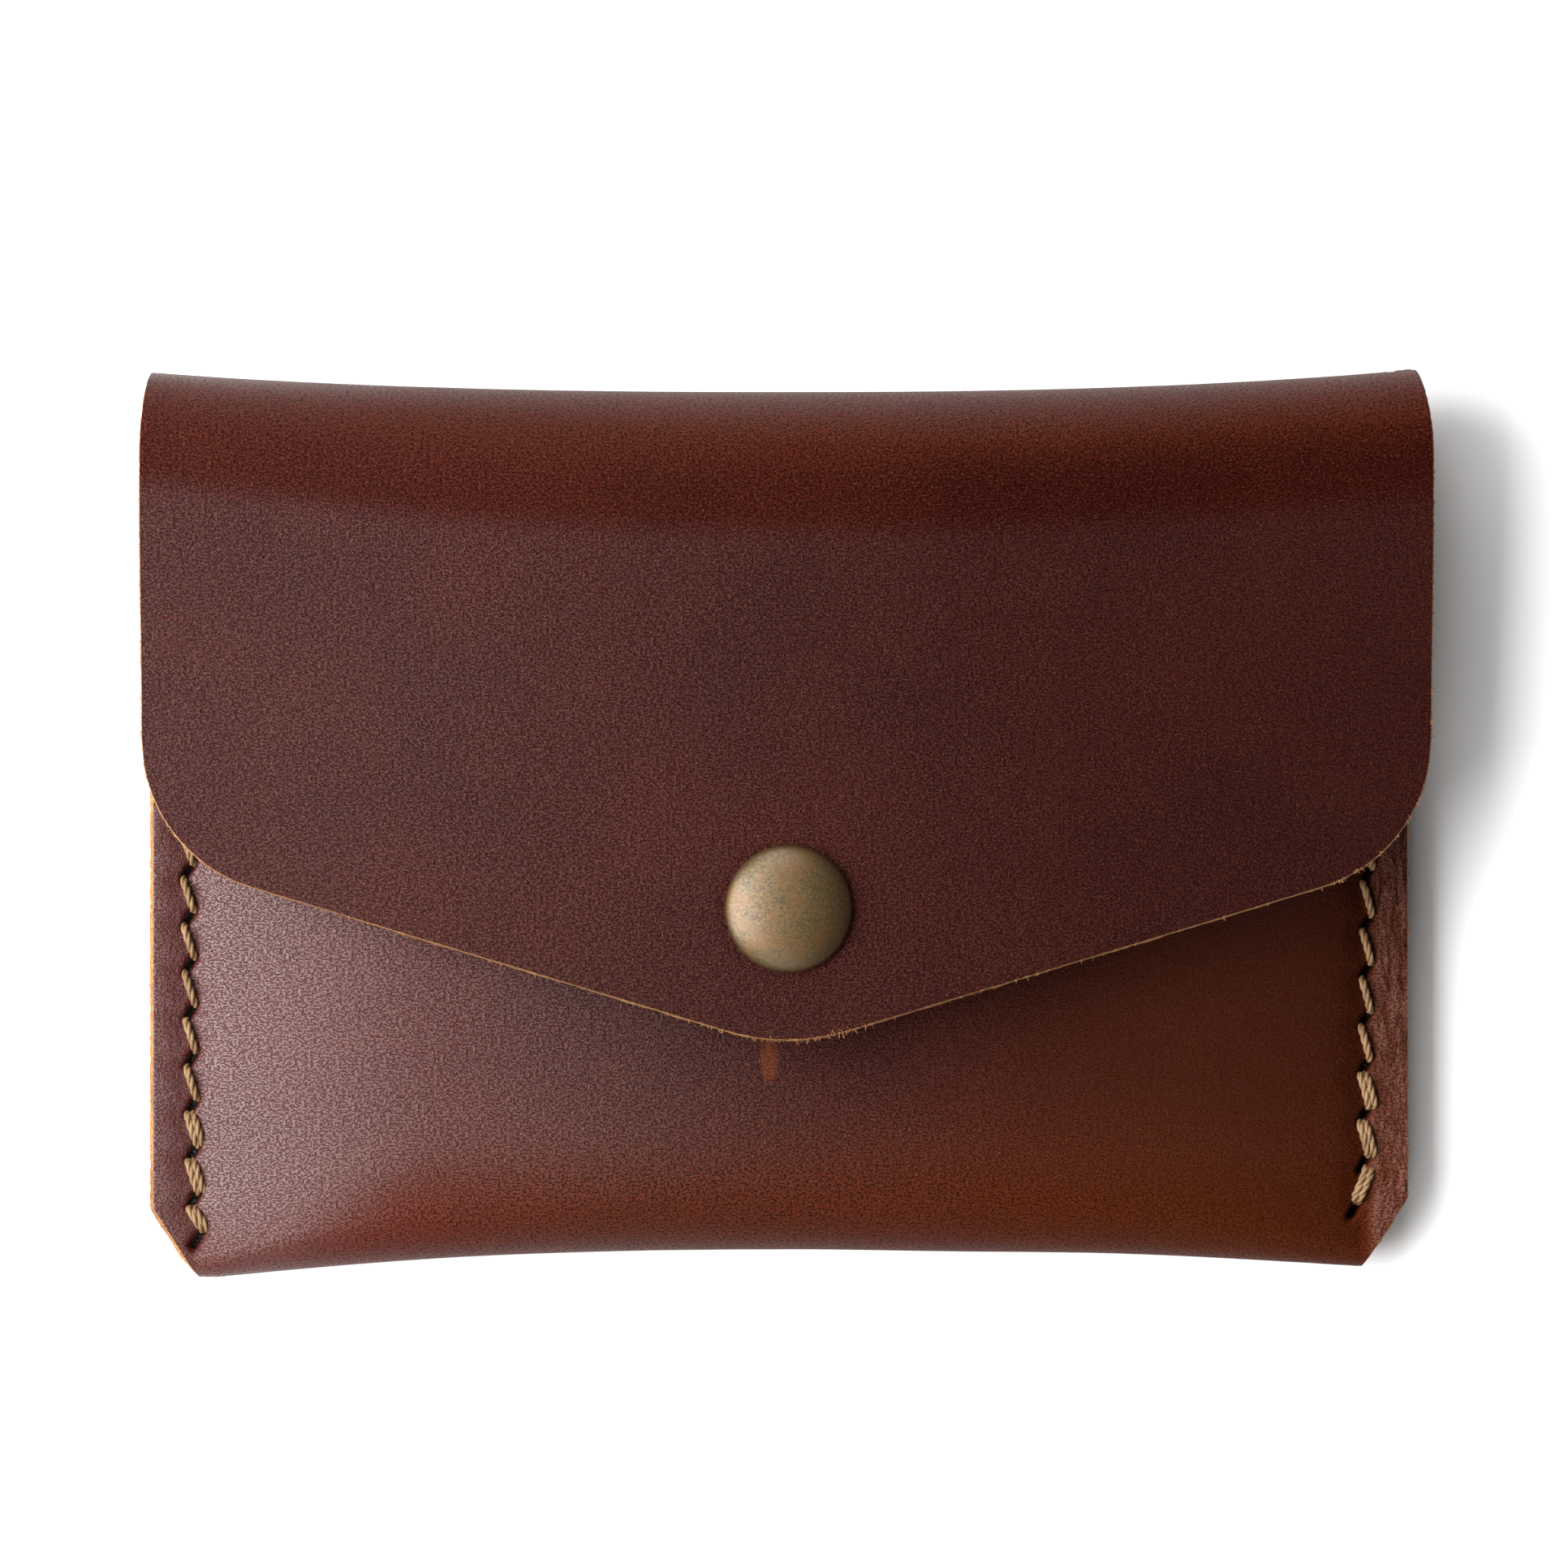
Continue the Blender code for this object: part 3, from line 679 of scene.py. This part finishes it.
def stitch(here, there, front, shift):
    """Centre line of one stitch between two holes, from under one face to under it again."""
    here, there = np.array(here), np.array(there)
    face, up = (FRONT_Z, 1.0) if front else (BACK_Z, -1.0)
    down = np.sign(here[1] - there[1])
    slit = SLIT * (1.0 if front else 0.85) * (1 if front else np.array([-1, 1]))
    if SEAMS["right"][-1] in (tuple(here), tuple(there)):
        slit = slit * (-0.6, 0.7)
    start, end = here - slit * down, there + slit * down
    start, end = start + (shift, 0), end + (shift, 0)
    run = end - start
    lift = 0.02 if front else 0.0
    heights = ((0.0, -1.5), (0.0, -0.7), (0.12, lift - 0.18), (0.32, lift), (0.5, lift + 0.04),
               (0.68, lift), (0.88, lift - 0.18), (1.0, -0.7), (1.0, -1.5))
    return [(*(start + run * t), face + up * h) for t, h in heights]


def strand(holes, front, shift=0.0):
    """One thread of a seam, in and out through its holes."""
    path = []
    for here, there in zip(holes, holes[1:]):
        path += stitch(here, there, front, shift)
        front = not front
    return path


def ply_meshes(path, radius, offset, pitch, step):
    """Three plies twisted round a path, each turn of them pitch long."""
    line = smooth_path(path, step)
    length = np.concatenate([[0], np.cumsum(np.linalg.norm(np.diff(line, axis=0), axis=1))])
    _, _, (u, v) = tube(line, 0.1, 3)
    made = []
    for k in range(3):
        angle = (2 * math.pi * (length / pitch + k / 3))[:, None]
        centre = line + offset * (u * np.cos(angle) + v * np.sin(angle))
        made.append(tube(centre, radius, 9)[:2])
    return made


def joined(parts):
    """All parts' (points, faces) as one."""
    verts, faces, base = [], [], 0
    for v, f in parts:
        verts.append(v)
        faces.append(f + base)
        base += len(v)
    return np.concatenate(verts), np.concatenate(faces)


PLY, PLY_OFFSET, PLY_PITCH, PLY_STEP = 0.18, 0.165, 2.5, 0.13
BACKSTITCHED, BACKSTITCH_SHIFT = 4, 0.5  # the last holes are sewn twice, side by side

thread = waxed_thread()
for name, holes in SEAMS.items():
    parts = []
    last = holes[-BACKSTITCHED:][::-1]
    for path in (strand(holes, True), strand(holes, False),
                 strand(last, True, BACKSTITCH_SHIFT), strand(last, False, BACKSTITCH_SHIFT)):
        parts += ply_meshes(path, PLY, PLY_OFFSET, PLY_PITCH, PLY_STEP)
    seam = mesh_object(f"{name}_seam", *joined(parts), [thread])
    face_outwards(seam)
    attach(seam, "pocket")
    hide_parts(f"{name}_seam_thread")

# ---------------------------------------------------------------- edge fibres


def fibres(name, body, edge, outward, count, seed, reach, bunch=6):
    """Short loose fibres in small tufts along a cut edge."""
    rng = np.random.default_rng(seed)
    parts = []
    while len(parts) < count:
        at = int(len(edge) * rng.random() ** 0.8)
        for _ in range(rng.integers(1, bunch)):
            root = edge[np.clip(at + rng.integers(-2, 3), 0, len(edge) - 1)]
            aim = outward[min(at, len(edge) - 1)] + 0.9 * rng.standard_normal(3) * (1, 1, 0.5)
            aim = aim / np.linalg.norm(aim) * reach * rng.uniform(0.5, 1.6)
            bent = aim + 0.5 * reach * rng.standard_normal(3)
            path = [root - 0.1 * aim, root + 0.4 * aim, root + 0.5 * aim + 0.5 * bent]
            parts.append(tube(smooth_path(path, 0.08), rng.uniform(0.015, 0.032), 4)[:2])
    points, faces = joined(parts)
    hairs = mesh_object(name, points, faces, [leather[2]])
    attribute(hairs, "strip", points * (1, 1, 0), "FLOAT_VECTOR")
    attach(hairs, body)


row_count, column_count = flap_out.shape[:2]
up_side = 25  # points up each side from the corners that still have fibres
low_edge = slice(row_count - up_side, row_count + column_count + up_side)
fibres("flap_edge_fibres", "flap", flap_edge[low_edge], flap_outward[low_edge], 260, 11, 0.22)
tip_edge = slice(*sorted(np.argmin(np.abs(flap_edge[:, 0] - v) + 9 * (flap_edge[:, 1] > 0))
                         for v in (-3.0, 11.0)))
fibres("flap_tip_fibres", "flap", flap_edge[tip_edge], flap_outward[tip_edge], 90, 5, 0.30, 12)

# ---------------------------------------------------------------- snap


def turned(name, profile, material, body, node, closed=True, steps=96):
    """A round piece at the snap, from (radius, Z) down its outer side."""
    mesh = bpy.data.meshes.new(name)
    count = len(profile)
    edges = [(i, i + 1) for i in range(count - 1)] + ([(count - 1, 0)] if closed else [])
    mesh.from_pydata([(r * MM, 0.0, z * MM) for r, z in profile], edges, [])
    obj = bpy.data.objects.new(name, mesh)
    bpy.context.scene.collection.objects.link(obj)
    obj.location = (SNAP[0] * MM, SNAP[1] * MM, 0.0)
    screw = obj.modifiers.new("turn", "SCREW")
    screw.steps = screw.render_steps = steps
    screw.use_merge_vertices = True
    screw.merge_threshold = 0.000005
    mesh.materials.append(material)
    graph = bpy.context.evaluated_depsgraph_get()
    obj.data = bpy.data.meshes.new_from_object(obj.evaluated_get(graph))
    obj.modifiers.clear()
    obj.data.polygons.foreach_set("use_smooth", [True] * len(obj.data.polygons))
    face_outwards(obj)
    obj.data.set_sharp_from_angle(angle=math.radians(45))
    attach(obj, body)
    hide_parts(node)


brass, wire = antique_brass(), spring_wire()
dome = [(5.18 * math.sin(a), 17.74 + 1.76 * math.cos(a)) for a in np.linspace(0, 1.5, 22)]
rim = [(5.2, 17.72), (5.16, 17.60), (5.0, 17.56), (4.3, 17.58), (4.3, 17.82), (4.75, 17.92)]
under = [(4.55, 17.98), (3.6, 18.42), (2.55, 18.82), (1.3, 19.06), (0.0, 19.14)]
turned("brass_cap", dome + rim + under, brass, "flap", "snap_cap", closed=False)
turned("brass_cap_rivet", [(0.0, 18.3), (3.3, 18.3), (4.0, 18.0), (4.0, 17.75), (1.4, 17.75),
       (1.4, 15.05), (2.1, 15.05), (2.2, 14.97), (2.1, 14.85), (1.1, 14.85), (1.0, 14.95),
       (1.0, 18.0), (0.0, 18.0)], brass, "flap", "cap_rivet", closed=False)
turned("brass_socket", [(1.7, 15.55), (3.9, 15.55), (4.2, 15.42), (4.35, 15.1), (4.4, 14.2),
       (4.36, 13.7), (4.2, 13.5), (4.0, 13.45), (2.7, 13.45), (2.6, 13.55), (2.6, 13.7),
       (3.9, 13.7), (4.1, 14.2), (4.0, 15.1), (3.8, 15.25), (1.7, 15.25)],
       brass, "flap", "snap_socket")
turned("brass_stud", [(1.0, 14.3), (1.4, 14.32), (1.68, 14.24), (1.8, 14.08), (1.7, 13.92),
       (1.52, 13.8), (1.5, 13.4), (1.6, 13.26), (1.9, 13.2), (3.8, 13.15), (4.05, 13.08),
       (4.1, 12.9), (1.0, 12.9)], brass, "pocket", "snap_stud")
turned("brass_eyelet", [(0.5, 14.55), (0.9, 14.56), (1.2, 14.46), (1.15, 14.36), (0.8, 14.36),
       (0.8, 10.9), (3.8, 10.9), (4.0, 10.7), (3.8, 10.5), (0.8, 10.5), (0.5, 10.65)],
       brass, "pocket", "stud_eyelet")
for side, word in ((-1, "left"), (1, "right")):
    ends = [(SNAP[0] + side * (2.35 - b), SNAP[1] + y, 14.0)
            for b, y in ((0.25, -3.1), (0, -1.55), (0, 1.55), (0.25, 3.1))]
    verts, faces, _ = tube(smooth_path(ends, 0.25), 0.22, 12)
    spring = mesh_object(f"spring_{word}", verts, faces, [wire])
    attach(spring, "flap")
    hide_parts(f"socket_spring_{word}")

# ---------------------------------------------------------------- stage


def floor():
    """A pale square of table, just under the holder."""
    p = Paint("floor")
    p.principled(Base_Color=(0.88, 0.88, 0.88), Roughness=0.9, Specular_IOR_Level=0.1)
    mesh = bpy.data.meshes.new("floor")
    size = 0.75
    mesh.from_pydata([(-size, -size, 0), (size, -size, 0), (size, size, 0), (-size, size, 0)],
                     [], [(0, 1, 2, 3)])
    mesh.materials.append(p.material)
    obj = bpy.data.objects.new("floor", mesh)
    obj.location.z = -0.00005
    bpy.context.scene.collection.objects.link(obj)


def softbox(name, place, wide, tall, power):
    """A rectangular lamp that faces the holder."""
    light = bpy.data.lights.new(name, "AREA")
    light.shape, light.size, light.size_y, light.energy = "RECTANGLE", wide, tall, power
    obj = bpy.data.objects.new(name, light)
    # its first side lies level, and its back faces away from the holder
    back = Vector(place).normalized()
    level = Vector((0, 1, 0))
    obj.matrix_world = Matrix((level, back.cross(level).normalized(), back)).transposed().to_4x4()
    obj.location = place
    bpy.context.scene.collection.objects.link(obj)


def studio_world():
    """The lamps do the lighting; looked at directly, the studio behind the floor is pale."""
    world = bpy.data.worlds.new("studio")
    world.use_nodes = True
    nodes, link = world.node_tree.nodes, world.node_tree.links.new
    dim, pale = nodes["Background"], nodes.new("ShaderNodeBackground")
    for background, strength in ((dim, 0.06), (pale, 1.0)):
        background.inputs["Color"].default_value = (1, 1, 1, 1)
        background.inputs["Strength"].default_value = strength
    seen, either = nodes.new("ShaderNodeLightPath"), nodes.new("ShaderNodeMixShader")
    link(seen.outputs["Is Camera Ray"], either.inputs[0])
    link(dim.outputs[0], either.inputs[1])
    link(pale.outputs[0], either.inputs[2])
    link(either.outputs[0], nodes["World Output"].inputs["Surface"])
    return world


def camera_above(x, y, height, view_width):
    """A camera that looks straight down, with view_width across its view at the table."""
    camera = bpy.data.objects.new("camera", bpy.data.cameras.new("camera"))
    camera.location = (x, y, height)
    camera.data.sensor_width = 36.0
    camera.data.lens = camera.data.sensor_width * height / view_width
    camera.data.clip_start, camera.data.clip_end = 0.01, 20.0
    bpy.context.scene.collection.objects.link(camera)
    return camera


floor()
softbox("key", (-0.735, 0.0, 0.60), 1.05, 1.0, 34.0)
softbox("overhead", (-0.45, 0.0, 1.20), 1.4, 0.9, 2.2)
softbox("back", (-0.15, 0.85, 0.48), 0.9, 0.7, 9.0)
softbox("front", (-0.15, -0.85, 0.42), 0.9, 0.6, 3.5)
bpy.context.scene.world = studio_world()
bpy.context.scene.camera = camera_above(-0.0002, 0.00337, height=0.6, view_width=0.131697)
bpy.context.scene.view_settings.view_transform = "Standard"
